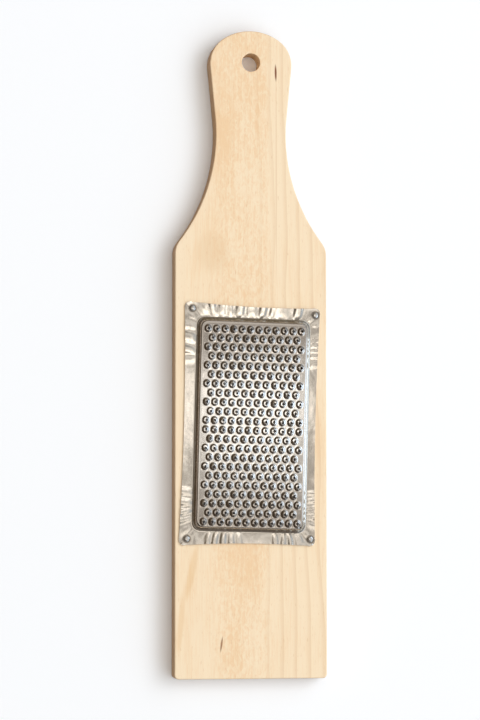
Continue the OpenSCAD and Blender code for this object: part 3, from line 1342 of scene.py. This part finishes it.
@dataclass
class Studio:
    """A white floor, a room to be mirrored in the metal, soft lamps and the camera."""

    floor_size: float = 6.0
    floor_colour: Colour = (0.97, 0.985, 1.0)
    floor_bounce: Colour = (0.37, 0.285, 0.235)
    floor_lift: float = 0.03
    camera_target: Place = (-0.0052, -0.0036, 0.010)
    camera_distance: float = 1.2
    lean_left: float = 9.6
    lean_down: float = 3.8
    roll: float = -0.01
    lens: float = 130.0
    lamps: tuple[Softbox, ...] = (
        Softbox("window_light", (1.1, 0.35, 1.25), (0.9, 0.9), 1.98, (0.97, 0.98, 1.0)),
        Softbox(
            "panel_over_sheet", (0.0225, -0.016, 0.160), (0.045, 0.050), 0.78, (1.0, 0.95, 0.885),
            (0.0, -0.026, 0.013), True,
        ),
        Softbox(
            "window_beside_sheet", (0.085, -0.034, 0.050), (0.090, 0.036), 1.75, (0.63, 0.80, 1.0),
            (0.0, -0.034, 0.013), True,
        ),
    )

    def floor(self) -> None:
        """Lays the white floor, which keeps the board's shadow."""
        floor = added(bpy.ops.mesh.primitive_plane_add, size=self.floor_size)
        floor.name = "floor"
        material, graph = new_material("white_floor")
        seen = graph.node("ShaderNodeLightPath").outputs["Is Camera Ray"]
        colour = graph.mix(Value(graph, seen), self.floor_bounce, self.floor_colour)
        matt = graph.node("ShaderNodeBsdfDiffuse", {}, {"Color": colour})
        strength = Value(graph, seen) * self.floor_lift
        lift = graph.node("ShaderNodeEmission", {}, {"Color": (1, 1, 1), "Strength": strength})
        both = graph.node("ShaderNodeAddShader", {}, {0: matt.outputs[0], 1: lift.outputs[0]})
        graph.node("ShaderNodeOutputMaterial", {}, {"Surface": both.outputs[0]})
        floor.data.materials.append(material)

    def soft_light(self, graph: Graph, x: Value, y: Value, z: Value) -> bpy.types.NodeSocket:
        """The light that falls on the board: strong from above and from the window on the right.

        Args:
            graph: The world's graph.
            x: How far a direction points to the right.
            y: How far it points to the handle's end.
            z: How far it points up.

        Returns:
            The colour of the light from that direction.
        """
        foot_side = y.between(-0.25, -0.6)
        window_side = x.between(0.15, 0.55)
        ceiling = graph.mix(x.between(-0.2, 0.35), (0.98, 0.93, 0.86), (1.78, 1.74, 1.70))
        return graph.layered(
            (0.15, 0.075, 0.045),
            (z.between(0.15, 0.6), (0.20, 0.165, 0.13)),
            (foot_side, (0.34, 0.34, 0.34)),
            (window_side * z.between(-0.10, 0.15), (0.66, 0.78, 0.94)),
            (window_side * z.between(0.42, 0.60), (1.7, 1.8, 1.9)),
            (z.between(0.76, 0.84), ceiling),
        )

    def mirrored_room(self, graph: Graph, x: Value, y: Value, z: Value) -> bpy.types.NodeSocket:
        """The room that the metal mirrors: dim brown, with a lit ceiling and a blue window on the right.

        Args:
            graph: The world's graph.
            x: How far a direction points to the right.
            y: How far it points to the handle's end.
            z: How far it points up.

        Returns:
            The colour in that direction.
        """
        window_side = x.between(0.22, 0.50)
        pane = z.between(0.80, 0.68) * z.between(0.52, 0.60)
        # How near a direction is to the one that a flat sheet mirrors to the camera
        from_mirrored = x * 0.168 + y * 0.045 + z * 0.985
        ceiling = graph.mix(x.between(-0.05, 0.35), (0.80, 0.75, 0.69), (0.80, 0.76, 0.71))
        ceiling = graph.mix(y.between(0.0, -0.25), ceiling, (1.35, 1.26, 1.13))
        return graph.layered(
            (0.14, 0.12, 0.105),
            (y.between(-0.3, 0.3), (0.20, 0.165, 0.12)),
            (x.between(-0.15, -0.5), (0.10, 0.075, 0.05)),
            (z.between(0.30, 0.20), (0.30, 0.28, 0.26)),
            (window_side * z.between(0.93, 0.84), (0.40, 0.43, 0.46)),
            (window_side * pane, (0.90, 1.0, 1.10)),
            (window_side * z.between(0.40, 0.22), (0.20, 0.19, 0.175)),
            (from_mirrored.between(0.91, 0.955), ceiling),
            (from_mirrored.between(0.988, 0.997), (0.40, 0.37, 0.335)),
        )

    def room(self) -> None:
        """Colours the world: white where the camera sees it, soft light for the board, a room for mirrors."""
        world = bpy.data.worlds.new("room")
        bpy.context.scene.world = world
        world.use_nodes = True
        graph = Graph(world.node_tree)
        place = graph.axes(graph.node("ShaderNodeTexCoord").outputs["Generated"])
        ray = graph.node("ShaderNodeLightPath").outputs
        mirrored = Value(graph, ray["Is Glossy Ray"])
        colour = graph.mix(mirrored, self.soft_light(graph, *place), self.mirrored_room(graph, *place))
        colour = graph.mix(Value(graph, ray["Is Camera Ray"]), colour, (1.0, 1.0, 1.0))
        background = graph.node("ShaderNodeBackground", {}, {"Color": colour, "Strength": 1.0})
        graph.node("ShaderNodeOutputWorld", {}, {"Surface": background.outputs[0]})

    def camera(self) -> None:
        """Sets up the camera, above the board and a little to its left and foot."""
        lean = Vector((-math.tan(math.radians(self.lean_left)), -math.tan(math.radians(self.lean_down)), 1))
        back = lean.normalized()
        right = Vector((0, 1, 0)).cross(back).normalized()
        up = back.cross(right)
        turned = Matrix((right, up, back)).transposed().to_quaternion()
        turned = Quaternion(back, math.radians(self.roll)) @ turned
        place = Vector(self.camera_target) + back * self.camera_distance
        camera = added(bpy.ops.object.camera_add, location=place, rotation=turned.to_euler())
        camera.name = "camera"
        camera.data.lens = self.lens
        camera.data.sensor_width = 36.0
        bpy.context.scene.camera = camera

    def build(self) -> None:
        """Sets up the whole studio."""
        bpy.context.scene.view_settings.view_transform = "Standard"
        self.floor()
        self.room()
        for lamp in self.lamps:
            lamp.hang()
        self.camera()


def settle(piece: bpy.types.Object, node: str) -> None:
    """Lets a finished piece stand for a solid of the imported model, and reports it.

    Args:
        piece: The finished piece.
        node: The solid that it stands for.
    """
    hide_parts(node)
    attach(piece, "root")
    log.info("%s: %d faces, for %s", piece.name, len(piece.data.polygons), node)


def corners(box: Sequence[Vector]) -> list[list[float]]:
    """A box's two corners as plain lists of numbers."""
    return [[float(number) for number in corner] for corner in box]


def main() -> None:
    """Builds the grater's pieces in order, then the studio."""
    logging.basicConfig(level=logging.INFO, format="%(name)s: %(message)s")
    # Without a seed of its own, noise_vector differs from run to run
    noise.seed_set(NOISE_SEED)
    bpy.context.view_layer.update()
    board = Board().build()
    board.name = "wooden_board"
    settle(board, "board")
    plate = GraterPlate().build()
    plate.name = "grating_sheet"
    settle(plate, "grater_plate")
    places = (("upper_left", -1, 1), ("upper_right", 1, 1), ("lower_left", -1, -1), ("lower_right", 1, -1))
    for seed, (words, side, end) in enumerate(places):
        nail = Nail("nail_" + words, side, end).build(seed)
        settle(nail, "nail_" + words)
    Studio().build()


if __name__ == "__main__":
    main()
